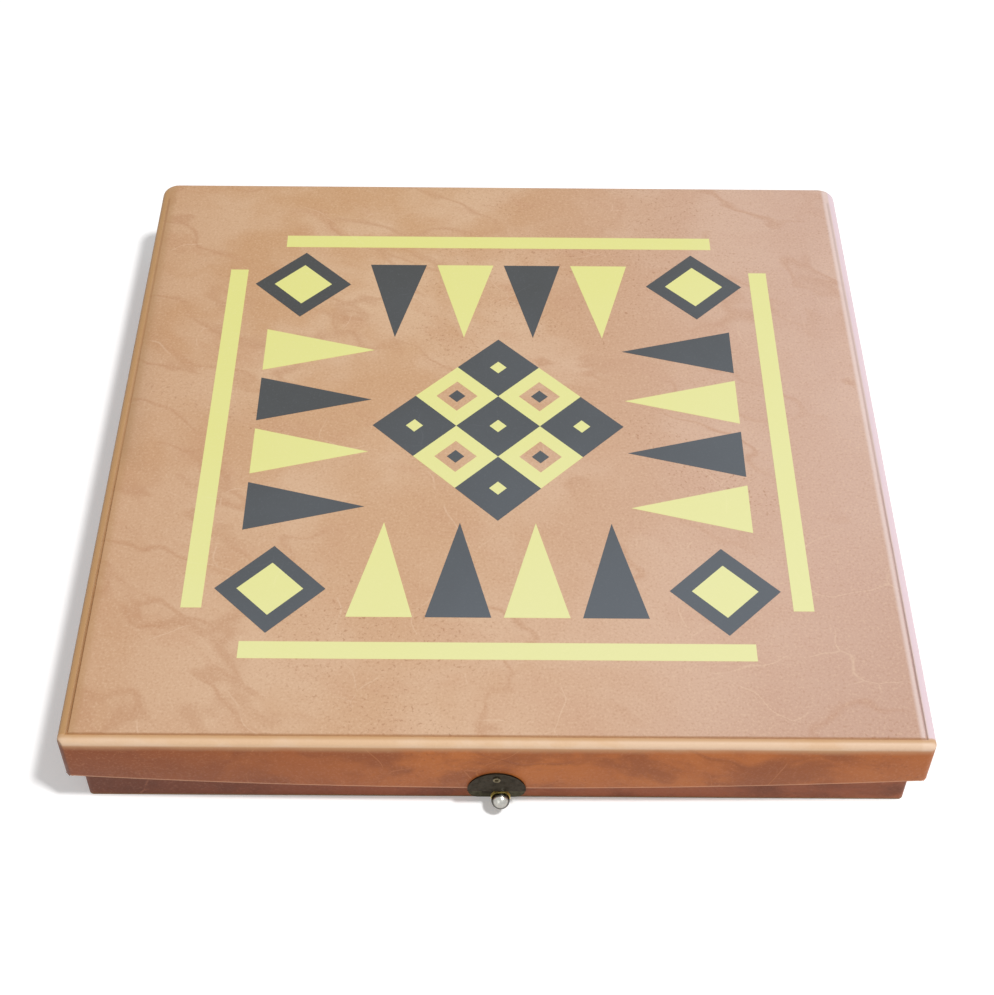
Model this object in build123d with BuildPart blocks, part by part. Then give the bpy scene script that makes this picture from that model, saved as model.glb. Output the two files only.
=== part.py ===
from build123d import *
from math import sqrt
import os

# A square game case covered in leatherette. The lid is hinged at the back and closes over the base
# like a shallow box lid. A small ball catch holds it at the front. Inside lie a chess board,
# two trays of chessmen and two trays of draughts. Millimetres, +Z up, front at -Y.
# The origin is the middle of the underside.

# Board and men, from which the plan size of the case follows
square_size = 32.0
squares_per_side = 8
board_border = 4.0
king_height = 48.0
tray_end_room = 3.0
divider_thickness = 3.0

# Sheet and board thicknesses
skin = 0.8
felt = 0.8
floor_felt_thickness = 1.0
bottom_sheet_thickness = 1.0
floor_thickness = 3.0
base_rail_thickness = 6.3
lid_rail_thickness = 3.0
lid_panel_thickness = 4.0
lid_felt_thickness = 1.5

# Heights
case_height = 53.0
base_reveal = 24.5
front_lip_sag = 8.3
seat_clearance = 0.3
lid_gap = 1.5
turn_in = 10.0

# Corners and edges
lid_front_corner = 3.2
lid_back_corner = 9.0
lid_top_round = 3.0
base_corner = 2.5
base_rim_round = 0.7
groove_width = 1.0
groove_depth = 0.9
rebate_width = 1.6
rebate_depth = 1.5

# Plan sizes
board_half = squares_per_side * square_size / 2 + board_border
tray_width = king_height + tray_end_room
inner_half = board_half + divider_thickness + tray_width
base_rail_inner = inner_half + felt
base_rail_outer = base_rail_inner + base_rail_thickness
base_half = base_rail_outer + skin
lid_inner_half = base_half + lid_gap
lid_rail_inner = lid_inner_half + skin
lid_rail_outer = lid_rail_inner + lid_rail_thickness
lid_half = lid_rail_outer + skin

# Heights that follow
floor_z = bottom_sheet_thickness + floor_thickness + floor_felt_thickness
panel_top = case_height - skin
panel_bottom = panel_top - lid_panel_thickness
lining_bottom = panel_bottom - lid_felt_thickness
rim_z = lining_bottom - seat_clearance
lip_z = base_reveal
front_lip_z = lip_z - front_lip_sag

os.makedirs("parts", exist_ok=True)


def save(builder, name):
    builder.part.label = name
    export_step(builder.part, f"parts/{name}.step")


def outline(half, front_radius, back_radius):
    """Square outline with its own corner radius at the front and at the back."""
    with BuildSketch(mode=Mode.PRIVATE) as shape:
        Rectangle(2 * half, 2 * half)
        fillet(shape.vertices().group_by(Axis.Y)[0], front_radius)
        fillet(shape.vertices().sort_by(Axis.Y)[-2:], back_radius)
    return shape.sketch


def wall_ring(outer, inner_square_half, bottom, top, edge_round):
    """Square ring that the four rails of a frame are cut from, with its upper outer edge rounded."""
    with BuildPart() as ring:
        with BuildSketch(Plane.XY.offset(bottom)):
            add(outer)
            Rectangle(2 * inner_square_half, 2 * inner_square_half, mode=Mode.SUBTRACT)
        extrude(amount=top - bottom)
        if edge_round > 0:
            fillet(ring.faces().sort_by(Axis.Z)[-1].outer_wire().edges(), edge_round)
    return ring.part


def mitre_wedge(side, reach, top):
    """Triangle from the middle out past one side, so that neighbouring rails meet at 45 degrees."""
    with BuildPart() as wedge:
        with BuildSketch(Plane.XY.rotated((0, 0, {"front": 0, "right": 90, "back": 180, "left": 270}[side]))):
            with BuildLine():
                Polyline((0, 0), (-reach, -reach), (reach, -reach), close=True)
            make_face()
        extrude(amount=top)
    return wedge.part


def cut_lip(rise):
    """Cuts the lid's walls off at the lip, raised by rise: level all round but for the front's shallow arc."""
    with BuildSketch(Plane.XZ, mode=Mode.PRIVATE) as below:
        with BuildLine():
            sag = ThreePointArc((-lid_inner_half, lip_z + rise), (0, front_lip_z + rise), (lid_inner_half, lip_z + rise))
            Polyline(sag @ 1, (2 * lid_half, lip_z + rise), (2 * lid_half, -case_height),
                     (-2 * lid_half, -case_height), (-2 * lid_half, lip_z + rise), sag @ 0)
        make_face()
    extrude(below.sketch, amount=2 * lid_half, both=True, mode=Mode.SUBTRACT)
    with Locations((0, lid_half - lid_inner_half, lip_z + rise)):
        Box(4 * lid_half, 2 * lid_half, 2 * case_height,
            align=(Align.CENTER, Align.CENTER, Align.MAX), mode=Mode.SUBTRACT)


# Hinges: two rolled hinges in the step under the lid's back wall
hinge_from_side = 80.0
hinge_width = 40.0
hinge_leaf = 1.0
barrel_radius = 2.5
barrel_clearance = 0.3
knuckle_count = 5
knuckle_gap = 0.2
hinge_pin_radius = 1.0
pin_running_clearance = 0.06
pin_press_clearance = 0.02
pin_head_radius = 1.6
pin_head_thickness = 0.6
base_leaf_length = 15.0
lid_leaf_length = 16.0
hinge_fixings = 3
fixing_pitch = 13.0
fixing_radius = 1.0
fixing_clearance = 0.02
fixing_head_radius = 2.0
fixing_head_height = 0.7
screw_length = 5.5
base_screw_drop = 9.5
lid_rivet_rise = 10.0

hinge_y = base_half + barrel_clearance + barrel_radius
hinge_z = lip_z - barrel_clearance - barrel_radius
knuckle_width = hinge_width / knuckle_count
hinge_xs = (-lid_half + hinge_from_side, lid_half - hinge_from_side)
fixing_xs = [x + (i - (hinge_fixings - 1) / 2) * fixing_pitch for x in hinge_xs for i in range(hinge_fixings)]
base_screw_z = hinge_z - base_screw_drop
lid_rivet_z = hinge_z + lid_rivet_rise

# Ball catch: a hasp on the lid, its tongue hanging in front of a slotted plate on the base
catch_radius = 13.7
catch_chord_rise = 0.3
catch_sheet = 0.8
tongue_width = 7.0
tongue_reach = 9.7
tongue_gap = 0.3
notch_height = 3.8
notch_depth = 3.8
plate_width = 27.0
plate_top_gap = 0.6
plate_bottom_gap = 1.0
plate_bottom_corner = 5.0
plate_top_corner = 1.0
knob_drop = 5.9
slider_width = 10.0
slider_height = 6.0
slider_thickness = 1.0
slider_clearance = 0.3
mortise_depth = 2.1
slider_travel = 3.8
neck_radius = 1.5
neck_to_tongue = 0.4
slot_clearance = 0.3
ball_radius = 4.4
ball_stand_off = 1.8
cup_rim_offset = 1.2
cup_radius = 4.6
cup_straight = 1.2
cup_back_radius = 2.4
cup_to_tongue = 0.4
catch_rivet_radius = 1.0
catch_rivet_head = 1.5
catch_rivet_head_height = 0.5
catch_rivet_dimple = 0.7
hasp_rivet_head = 1.75
hasp_rivet_dimple = 0.9
hasp_rivet_rise = 9.0
plate_rivet_x = 10.0
plate_rivet_drop = 3.4

catch_z = front_lip_z - catch_chord_rise
hasp_front = -lid_half - catch_sheet
fold_bottom = front_lip_z - catch_sheet
tongue_bottom = fold_bottom - tongue_reach
plate_front = -base_half - catch_sheet
plate_top = fold_bottom - plate_top_gap
tongue_back = plate_front - tongue_gap
tongue_front = tongue_back - catch_sheet
knob_x = neck_radius + neck_to_tongue
knob_z = fold_bottom - knob_drop
slider_front = -base_half + slider_clearance
slider_back = slider_front + slider_thickness
ball_y = -lid_half - ball_stand_off
cup_back = tongue_front - cup_to_tongue
hasp_rivet_z = front_lip_z + hasp_rivet_rise
plate_rivet_z = plate_top - plate_rivet_drop


def cut_across(spots, radius, depth):
    """Round holes along Y at the given x and z, cut half of depth to each side of their y."""
    with Locations(*[Location((x, y, z), (90, 0, 0)) for x, y, z in spots]):
        Cylinder(radius, depth, mode=Mode.SUBTRACT)


lid_rivet_holes = [(x, lid_half, lid_rivet_z) for x in fixing_xs]
hasp_rivet_hole = [(0, -lid_half, hasp_rivet_z)]
base_screw_holes = [(x, base_half, base_screw_z) for x in fixing_xs]
plate_rivet_holes = [(x, -base_half, plate_rivet_z) for x in (-plate_rivet_x, plate_rivet_x)]
wall_depth = 2 * (lid_half - lid_inner_half) + 2 * catch_sheet


def cut_mortise():
    """Pocket in the base's front wall in which the slider runs from one side to the other."""
    with Locations((0, -base_half, knob_z)):
        Box(slider_width + slider_travel + 2 * slider_clearance, 2 * mortise_depth,
            slider_height + 2 * slider_clearance, mode=Mode.SUBTRACT)


# Lid frame: four mitred rails with the front one curving down to the lip
lid_skin_outline = outline(lid_half, lid_front_corner, lid_back_corner)
lid_rail_outline = outline(lid_rail_outer, lid_front_corner - skin, lid_back_corner - skin)
with BuildPart() as lid_frame:
    add(wall_ring(lid_rail_outline, lid_rail_inner, front_lip_z, panel_top, lid_top_round - skin))
    cut_lip(skin)
lid_rails = {}
for side in ("front", "right", "back", "left"):
    with BuildPart() as rail:
        add(lid_frame.part)
        add(mitre_wedge(side, 2 * lid_half, 2 * case_height), mode=Mode.INTERSECT)
        if side == "front":
            cut_across(hasp_rivet_hole, catch_rivet_radius + fixing_clearance, wall_depth)
        if side == "back":
            cut_across(lid_rivet_holes, fixing_radius + fixing_clearance, wall_depth)
    lid_rails[side] = rail
    save(rail, f"lid_{side}_rail")

# Lid top panel, let in between the rails, with a rebate along three sides for the cover's groove
with BuildPart() as lid_top_panel:
    with BuildSketch(Plane.XY.offset(panel_bottom)):
        Rectangle(2 * lid_rail_inner, 2 * lid_rail_inner)
    extrude(amount=lid_panel_thickness)
    with BuildSketch(Plane.XY.offset(panel_top - rebate_depth)):
        Rectangle(2 * lid_rail_inner, 2 * lid_rail_inner)
        with Locations((0, rebate_width)):
            Rectangle(2 * (lid_rail_inner - rebate_width), 2 * lid_rail_inner, mode=Mode.SUBTRACT)
    extrude(amount=rebate_depth, mode=Mode.SUBTRACT)
save(lid_top_panel, "lid_top_panel")

# Lid cover: one sheet over the top and the walls, turned in under the lip and up the inside
with BuildPart() as lid_cover:
    with BuildSketch(Plane.XY.offset(front_lip_z)):
        add(lid_skin_outline)
    extrude(amount=case_height - front_lip_z)
    fillet(lid_cover.faces().sort_by(Axis.Z)[-1].edges(), lid_top_round)
    cut_lip(0)
    with BuildSketch(Plane.XY):
        Rectangle(2 * lid_inner_half, 2 * lid_inner_half)
    extrude(amount=panel_bottom, mode=Mode.SUBTRACT)
    add(lid_frame.part, mode=Mode.SUBTRACT)
    add(lid_top_panel.part, mode=Mode.SUBTRACT)
    groove_centre = lid_rail_inner - rebate_width / 2
    groove_outer = groove_centre + groove_width / 2
    groove_inner = groove_centre - groove_width / 2
    with BuildSketch(Plane.XY.offset(case_height - groove_depth)):
        Rectangle(2 * groove_outer, 2 * groove_outer)
        with Locations((0, lid_half)):
            Rectangle(2 * groove_inner, 2 * (lid_half + groove_inner), mode=Mode.SUBTRACT)
        with Locations((0, lid_half)):
            Rectangle(4 * lid_half, 2 * lid_back_corner, mode=Mode.SUBTRACT)
    extrude(amount=2 * groove_depth, mode=Mode.SUBTRACT)
    cut_across(hasp_rivet_hole, catch_rivet_radius + fixing_clearance, wall_depth)
    cut_across(lid_rivet_holes, fixing_radius + fixing_clearance, wall_depth)
save(lid_cover, "lid_cover")

# Lid lining: felt on card under the panel, which rests on the base's rim
with BuildPart() as lid_lining:
    with BuildSketch(Plane.XY.offset(lining_bottom)):
        Rectangle(2 * lid_inner_half, 2 * lid_inner_half)
    extrude(amount=lid_felt_thickness)
save(lid_lining, "lid_lining")

# Base frame: four mitred rails, with the floor panel between them
base_outline = outline(base_half, base_corner, base_corner)
base_rail_outline = outline(base_rail_outer, base_corner - skin, base_corner - skin)
base_ring = wall_ring(base_rail_outline, base_rail_inner, bottom_sheet_thickness, rim_z - skin,
                      base_rim_round - skin)
for side in ("front", "right", "back", "left"):
    with BuildPart() as rail:
        add(base_ring)
        add(mitre_wedge(side, 2 * lid_half, 2 * case_height), mode=Mode.INTERSECT)
        if side == "front":
            cut_across(plate_rivet_holes, catch_rivet_radius + fixing_clearance, 2 * screw_length)
            cut_mortise()
        if side == "back":
            cut_across(base_screw_holes, fixing_radius + fixing_clearance, 2 * screw_length)
    save(rail, f"base_{side}_rail")

with BuildPart() as base_floor_panel:
    with BuildSketch(Plane.XY.offset(bottom_sheet_thickness)):
        Rectangle(2 * base_rail_inner, 2 * base_rail_inner)
    extrude(amount=floor_thickness)
save(base_floor_panel, "base_floor_panel")

with BuildPart() as base_bottom_sheet:
    with BuildSketch(Plane.XY):
        add(base_outline)
    extrude(amount=bottom_sheet_thickness)
save(base_bottom_sheet, "base_bottom_sheet")

# Base cover: up the outside, over the rim and turned in a little way down the inside
with BuildPart() as base_cover:
    with BuildSketch(Plane.XY.offset(bottom_sheet_thickness)):
        add(base_outline)
    extrude(amount=rim_z - bottom_sheet_thickness)
    fillet(base_cover.faces().sort_by(Axis.Z)[-1].edges(), base_rim_round)
    with BuildSketch(Plane.XY):
        Rectangle(2 * base_rail_inner, 2 * base_rail_inner)
    extrude(amount=rim_z - turn_in, mode=Mode.SUBTRACT)
    with BuildSketch(Plane.XY):
        Rectangle(2 * inner_half, 2 * inner_half)
    extrude(amount=case_height, mode=Mode.SUBTRACT)
    add(base_ring, mode=Mode.SUBTRACT)
    cut_across(plate_rivet_holes, catch_rivet_radius + fixing_clearance, 2 * screw_length)
    cut_mortise()
    cut_across(base_screw_holes, fixing_radius + fixing_clearance, 2 * screw_length)
save(base_cover, "base_cover")

with BuildPart() as base_wall_lining:
    with BuildSketch(Plane.XY.offset(bottom_sheet_thickness + floor_thickness)):
        Rectangle(2 * base_rail_inner, 2 * base_rail_inner)
        Rectangle(2 * inner_half, 2 * inner_half, mode=Mode.SUBTRACT)
    extrude(amount=rim_z - turn_in - bottom_sheet_thickness - floor_thickness)
save(base_wall_lining, "base_wall_lining")

with BuildPart() as base_floor_felt:
    with BuildSketch(Plane.XY.offset(bottom_sheet_thickness + floor_thickness)):
        Rectangle(2 * inner_half, 2 * inner_half)
    extrude(amount=floor_felt_thickness)
save(base_floor_felt, "base_floor_felt")

# Tray dividers: two run from front to back, two lie between them
board_thickness = 4.0
square_thickness = 0.5
board_support_height = 31.0
divider_rise = 0.5
support_width = 4.0

board_bottom = floor_z + board_support_height
board_top = board_bottom + board_thickness
divider_top = board_top + square_thickness + divider_rise
divider_centre = board_half + divider_thickness / 2

with BuildPart() as long_dividers:
    with BuildSketch(Plane.XY.offset(floor_z)):
        with Locations((-divider_centre, 0), (divider_centre, 0)):
            Rectangle(divider_thickness, 2 * inner_half)
    extrude(amount=divider_top - floor_z)
save(long_dividers, "long_tray_dividers")

with BuildPart() as short_dividers:
    with BuildSketch(Plane.XY.offset(floor_z)):
        with Locations((0, -divider_centre), (0, divider_centre)):
            Rectangle(2 * board_half, divider_thickness)
    extrude(amount=divider_top - floor_z)
save(short_dividers, "short_tray_dividers")

with BuildPart() as board_supports:
    with BuildSketch(Plane.XY.offset(floor_z)):
        with GridLocations(square_size, 1, squares_per_side + 1, 1):
            Rectangle(support_width, 2 * board_half)
    extrude(amount=board_support_height)
save(board_supports, "board_support_slats")

# Playing board: a panel veneered with squares and a plain border
with BuildPart() as playing_board:
    with BuildSketch(Plane.XY.offset(board_bottom)):
        Rectangle(2 * board_half, 2 * board_half)
    extrude(amount=board_thickness)
save(playing_board, "playing_board")

square_centres = [((column - (squares_per_side - 1) / 2) * square_size,
                   (row - (squares_per_side - 1) / 2) * square_size,
                   (column + row) % 2)
                  for column in range(squares_per_side) for row in range(squares_per_side)]
for name, parity in (("dark_squares", 0), ("light_squares", 1)):
    with BuildPart() as squares:
        with BuildSketch(Plane.XY.offset(board_top)):
            with Locations(*[(x, y) for x, y, colour in square_centres if colour == parity]):
                Rectangle(square_size, square_size)
        extrude(amount=square_thickness)
    save(squares, name)

with BuildPart() as board_edging:
    with BuildSketch(Plane.XY.offset(board_top)):
        Rectangle(2 * board_half, 2 * board_half)
        Rectangle(squares_per_side * square_size, squares_per_side * square_size, mode=Mode.SUBTRACT)
    extrude(amount=square_thickness)
save(board_edging, "board_edging")

# Chessmen: each is turned about Z here, standing on z = 0, then laid down in its tray
officer_foot_radius = 11.0
pawn_foot_radius = 9.5
foot_height = 4.0
officer_stem_radius = 5.0
pawn_stem_radius = 4.2
stem_bottom = 9.5
stem_top = 15.0
collar_lip = 1.6
collar_height = 1.8


def turned_foot(foot_radius, stem_radius, neck_radius, collar_z):
    """Half profile of a foot, hollow curve, straight stem, taper and collar, up to the collar's top."""
    with BuildSketch(Plane.XZ, mode=Mode.PRIVATE) as profile:
        with BuildLine():
            flat = Polyline((0, 0), (foot_radius, 0), (foot_radius, foot_height))
            hollow = ThreePointArc(
                flat @ 1,
                (stem_radius + 0.30 * (foot_radius - stem_radius), foot_height + 0.45 * (stem_bottom - foot_height)),
                (stem_radius, stem_bottom))
            Polyline(hollow @ 1, (stem_radius, stem_top), (neck_radius, collar_z),
                     (neck_radius + collar_lip, collar_z + 0.3 * collar_height),
                     (neck_radius + collar_lip, collar_z + 0.7 * collar_height),
                     (neck_radius, collar_z + collar_height), (0, collar_z + collar_height), (0, 0))
        make_face()
    return profile.sketch


pawn_neck_radius = 3.0
pawn_taper = 4.7
pawn_ball_radius = 5.0
pawn_ball_seat = 1.5

with BuildPart() as pawn:
    pawn_collar = stem_top + pawn_taper
    revolve(turned_foot(pawn_foot_radius, pawn_stem_radius, pawn_neck_radius, pawn_collar), axis=Axis.Z)
    with Locations((0, 0, pawn_collar + collar_height - pawn_ball_seat + pawn_ball_radius)):
        Sphere(pawn_ball_radius)

rook_neck_radius = 4.2
rook_taper = 7.7
tower_height = 9.5
tower_radius = 7.4
tower_wall = 2.2
crenel_depth = 3.0
crenel_width = 2.6

with BuildPart() as rook:
    rook_collar = stem_top + rook_taper
    tower_top = rook_collar + collar_height + tower_height
    revolve(turned_foot(officer_foot_radius, officer_stem_radius, rook_neck_radius, rook_collar), axis=Axis.Z)
    with Locations((0, 0, tower_top)):
        Cylinder(tower_radius, tower_height, align=(Align.CENTER, Align.CENTER, Align.MAX))
        Cylinder(tower_radius - tower_wall, crenel_depth,
                 align=(Align.CENTER, Align.CENTER, Align.MAX), mode=Mode.SUBTRACT)
        with Locations(Rotation(0, 0, 0), Rotation(0, 0, 90)):
            Box(3 * tower_radius, crenel_width, 2 * crenel_depth, mode=Mode.SUBTRACT)

bishop_neck_radius = 3.0
bishop_taper = 7.7
mitre_radius = 5.6
mitre_belly_rise = 4.4
mitre_shoulder_radius = 4.6
mitre_shoulder_rise = 8.0
mitre_tip_radius = 2.7
mitre_tip_rise = 11.5
mitre_height = 13.3
finial_radius = 1.4
finial_seat = 0.6
slit_width = 1.3
slit_rise = 9.5
slit_angle = 38

with BuildPart() as bishop:
    bishop_collar = stem_top + bishop_taper
    mitre_bottom = bishop_collar + collar_height
    revolve(turned_foot(officer_foot_radius, officer_stem_radius, bishop_neck_radius, bishop_collar), axis=Axis.Z)
    with BuildSketch(Plane.XZ):
        with BuildLine():
            belly = ThreePointArc((bishop_neck_radius, mitre_bottom), (mitre_radius, mitre_bottom + mitre_belly_rise),
                                  (mitre_shoulder_radius, mitre_bottom + mitre_shoulder_rise))
            tip = ThreePointArc(belly @ 1, (mitre_tip_radius, mitre_bottom + mitre_tip_rise),
                                (0, mitre_bottom + mitre_height))
            Polyline(tip @ 1, (0, mitre_bottom), belly @ 0)
        make_face()
    revolve(axis=Axis.Z)
    with Locations(Location((mitre_radius, 0, mitre_bottom + slit_rise), (0, -slit_angle, 0))):
        Box(2 * mitre_radius, 3 * mitre_radius, slit_width, mode=Mode.SUBTRACT)
    with Locations((0, 0, mitre_bottom + mitre_height - finial_seat + finial_radius)):
        Sphere(finial_radius)

queen_neck_radius = 3.4
queen_taper = 12.7
crown_waist_radius = 4.4
crown_waist_rise = 6.0
crown_radius = 6.8
crown_rise = 11.0
crown_dish_radius = 4.6
crown_cone_rise = 13.5
crown_notch_radius = 1.5
crown_notch_count = 8
crown_pearl_radius = 1.8

with BuildPart() as queen:
    queen_collar = stem_top + queen_taper
    crown_bottom = queen_collar + collar_height
    revolve(turned_foot(officer_foot_radius, officer_stem_radius, queen_neck_radius, queen_collar), axis=Axis.Z)
    with BuildSketch(Plane.XZ):
        with BuildLine():
            flare = ThreePointArc((queen_neck_radius, crown_bottom), (crown_waist_radius, crown_bottom + crown_waist_rise),
                                  (crown_radius, crown_bottom + crown_rise))
            Polyline(flare @ 1, (crown_dish_radius, crown_bottom + crown_rise), (0, crown_bottom + crown_cone_rise),
                     (0, crown_bottom), flare @ 0)
        make_face()
    revolve(axis=Axis.Z)
    with Locations((0, 0, crown_bottom + crown_rise)):
        with PolarLocations(crown_radius, crown_notch_count):
            Sphere(crown_notch_radius, mode=Mode.SUBTRACT)
    with Locations((0, 0, crown_bottom + crown_cone_rise)):
        Sphere(crown_pearl_radius)

king_neck_radius = 3.5
cap_waist_radius = 4.5
cap_waist_rise = 5.5
cap_radius = 6.4
cap_rise = 10.5
dome_shoulder_radius = 3.6
dome_shoulder_rise = 1.6
dome_rise = 2.3
cross_height = 5.8
cross_width = 5.4
cross_bar = 1.9
cross_arm_drop = 2.8

with BuildPart() as king:
    cap_bottom = king_height - cross_height - dome_rise - cap_rise
    cap_top = cap_bottom + cap_rise
    revolve(turned_foot(officer_foot_radius, officer_stem_radius, king_neck_radius, cap_bottom - collar_height),
            axis=Axis.Z)
    with BuildSketch(Plane.XZ):
        with BuildLine():
            flare = ThreePointArc((king_neck_radius, cap_bottom), (cap_waist_radius, cap_bottom + cap_waist_rise),
                                  (cap_radius, cap_top))
            dome = ThreePointArc(flare @ 1, (dome_shoulder_radius, cap_top + dome_shoulder_rise),
                                 (0, cap_top + dome_rise))
            Polyline(dome @ 1, (0, cap_bottom), flare @ 0)
        make_face()
    revolve(axis=Axis.Z)
    with Locations((0, 0, king_height)):
        Box(cross_bar, cross_bar, cross_height + cross_bar, align=(Align.CENTER, Align.CENTER, Align.MAX))
    with Locations((0, 0, king_height - cross_arm_drop)):
        Box(cross_width, cross_bar, cross_bar)

knight_neck_radius = 5.2
knight_taper = 1.2
head_half_width = 3.8
head_seat = 0.4
neck_front = 5.0
neck_back = 5.0
mane_reach = 7.0
mane_rise = 8.0
poll_back = 3.0
poll_rise = 15.8
ear_back = 1.8
ear_rise = 19.0
ear_front = 0.4
forehead_rise = 16.2
brow_front = 4.6
brow_rise = 13.4
nose_front = 7.6
nose_rise = 9.4
lip_front = 8.0
lip_rise = 7.2
chin_front = 6.2
chin_rise = 6.2
jaw_front = 3.4
jaw_rise = 7.4
throat_front = 1.4
throat_rise = 6.8
chest_front = 3.2
chest_rise = 3.6

with BuildPart() as knight:
    knight_collar = stem_top + knight_taper
    head_bottom = knight_collar + collar_height
    revolve(turned_foot(officer_foot_radius, officer_stem_radius, knight_neck_radius, knight_collar), axis=Axis.Z)
    with BuildSketch(Plane.XZ):
        with BuildLine():
            mane = ThreePointArc((-neck_back, head_bottom - head_seat), (-mane_reach, head_bottom + mane_rise),
                                 (-poll_back, head_bottom + poll_rise))
            crest = Polyline(mane @ 1, (-ear_back, head_bottom + ear_rise), (ear_front, head_bottom + forehead_rise))
            brow = ThreePointArc(crest @ 1, (brow_front, head_bottom + brow_rise), (nose_front, head_bottom + nose_rise))
            muzzle = ThreePointArc(brow @ 1, (lip_front, head_bottom + lip_rise), (chin_front, head_bottom + chin_rise))
            jaw = ThreePointArc(muzzle @ 1, (jaw_front, head_bottom + jaw_rise),
                                (throat_front, head_bottom + throat_rise))
            chest = ThreePointArc(jaw @ 1, (chest_front, head_bottom + chest_rise), (neck_front, head_bottom - head_seat))
            Line(chest @ 1, mane @ 0)
        make_face()
    extrude(amount=head_half_width, both=True)

draught_radius = 13.0
draught_thickness = 7.0
draught_ring_outer = 10.0
draught_ring_inner = 8.2
draught_hollow_radius = 4.6
draught_relief = 0.6
draught_edge_round = 0.7
draught_gap = 0.1

with BuildPart() as draught:
    Cylinder(draught_radius, draught_thickness, align=(Align.CENTER, Align.CENTER, Align.MIN))
    fillet(draught.edges().filter_by(GeomType.CIRCLE), draught_edge_round)
    with BuildSketch(Plane.XY.offset(draught_thickness - draught_relief)):
        Circle(draught_ring_outer)
        Circle(draught_ring_inner, mode=Mode.SUBTRACT)
        Circle(draught_hollow_radius)
    extrude(amount=2 * draught_relief, mode=Mode.SUBTRACT)

# Where the men lie: officers, then pawns, in one row along each side tray
man_gap = 1.0
rack_web = 1.5
rack_drop = 4.0
rack_thickness = 2.5
foot_wall_gap = 0.5
foot_rib_at = 1.0
stem_rib_at = 12.0

man_axis_z = floor_z + rack_web + officer_foot_radius + seat_clearance
masters = {"rook": rook, "knight": knight, "bishop": bishop, "queen": queen, "king": king, "pawn": pawn}
row = ["rook", "knight", "bishop", "queen", "king", "bishop", "knight", "rook"] + ["pawn"] * 8
foot_radii = [pawn_foot_radius if kind == "pawn" else officer_foot_radius for kind in row]
stem_radii = [pawn_stem_radius if kind == "pawn" else officer_stem_radius for kind in row]
row_length = sum(2 * radius + man_gap for radius in foot_radii)
row_ys = []
along = -row_length / 2
for radius in foot_radii:
    row_ys.append(along + radius + man_gap / 2)
    along += 2 * radius + man_gap

for name, side in (("left", -1), ("right", 1)):
    wall_x = side * (inner_half - foot_wall_gap)
    tray_centre = side * (inner_half - tray_width / 2)
    with BuildPart() as rack:
        for rib_at, radii in ((foot_rib_at, foot_radii), (stem_rib_at, stem_radii)):
            rib_x = wall_x - side * (rib_at + rack_thickness / 2)
            with Locations((rib_x, 0, floor_z)):
                Box(rack_thickness, 2 * inner_half, man_axis_z - rack_drop - floor_z,
                    align=(Align.CENTER, Align.CENTER, Align.MIN))
            for y, radius in zip(row_ys, radii):
                with Locations(Location((rib_x, y, man_axis_z), (0, 90, 0))):
                    Cylinder(radius + seat_clearance, 2 * rack_thickness, mode=Mode.SUBTRACT)
    save(rack, f"{name}_men_rack")

    colour = "light" if side < 0 else "dark"
    lying = [Location(Plane(origin=(wall_x, y, man_axis_z), x_dir=(0, 0, 1), z_dir=(-side, 0, 0))) for y in row_ys]
    for kind in masters:
        with BuildPart() as group:
            with Locations(*[spot for spot, man in zip(lying, row) if man == kind]):
                add(masters[kind].part)
        save(group, f"{colour}_{kind}s" if kind not in ("queen", "king") else f"{colour}_{kind}")

# Draughts: four stacks of three in round wells, light at the front and dark at the back
stack_count = 4
stack_height = 3
well_clearance = 0.4
well_plate_thickness = 8.0
well_plate_clearance = 0.3

well_pitch = 2 * board_half / stack_count
for name, side, colour in (("front", -1, "light"), ("back", 1, "dark")):
    tray_y = side * (inner_half - tray_width / 2)
    with BuildPart() as wells:
        with BuildSketch(Plane.XY.offset(floor_z)):
            with Locations((0, tray_y)):
                Rectangle(2 * (board_half - well_plate_clearance), tray_width - 2 * well_plate_clearance)
                with GridLocations(well_pitch, 1, stack_count, 1):
                    Circle(draught_radius + well_clearance, mode=Mode.SUBTRACT)
        extrude(amount=well_plate_thickness)
    save(wells, f"{name}_draughts_rack")
    with BuildPart() as stacks:
        for level in range(stack_height):
            with Locations((0, tray_y, floor_z + level * (draught_thickness + draught_gap))):
                with GridLocations(well_pitch, 1, stack_count, 1):
                    add(draught.part)
    save(stacks, f"{colour}_draughts")

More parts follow.
